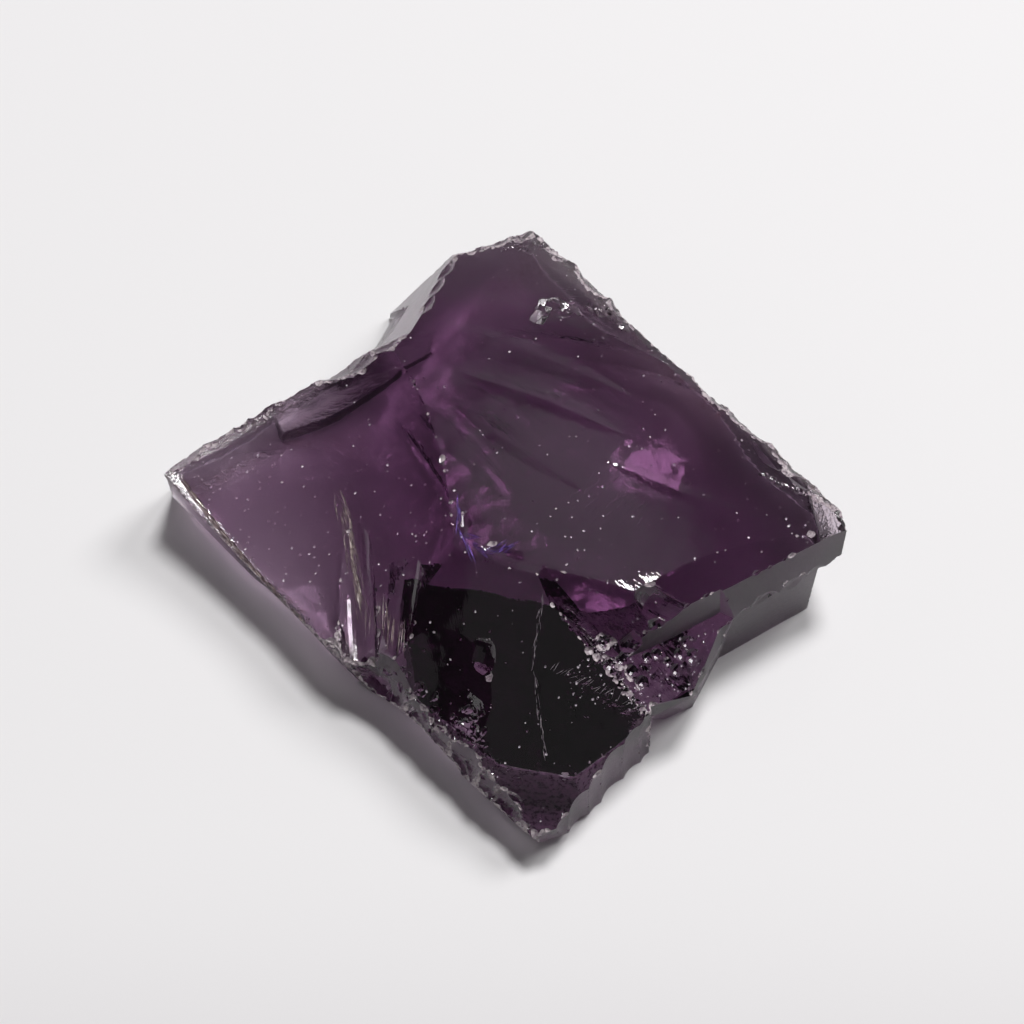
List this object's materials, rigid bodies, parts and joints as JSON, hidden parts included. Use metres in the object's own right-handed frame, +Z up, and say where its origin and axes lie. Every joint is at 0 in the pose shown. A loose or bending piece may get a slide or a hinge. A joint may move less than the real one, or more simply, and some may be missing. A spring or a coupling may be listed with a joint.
{
  "type": "rough alexandrite",
  "caption": "Rough block of glassy purple crystal with broken, scooped faces and chipped edges, lying on its flat underside.",
  "frame": {"origin": "centre of the bounding box, on the plane of the flat underside", "axes": "+Z up through the thickness, +X to the stone's right corner, the pitted hollow and the front tip towards -Y"},
  "size_m": [0.0512, 0.0512, 0.0126],
  "materials": {
    "purple_crystal": "glossy, clear but deeply coloured, with frosted chips along its edges"
  },
  "bodies": {
    "root": {"alexandrite": "purple_crystal"}
  },
  "joints": []
}
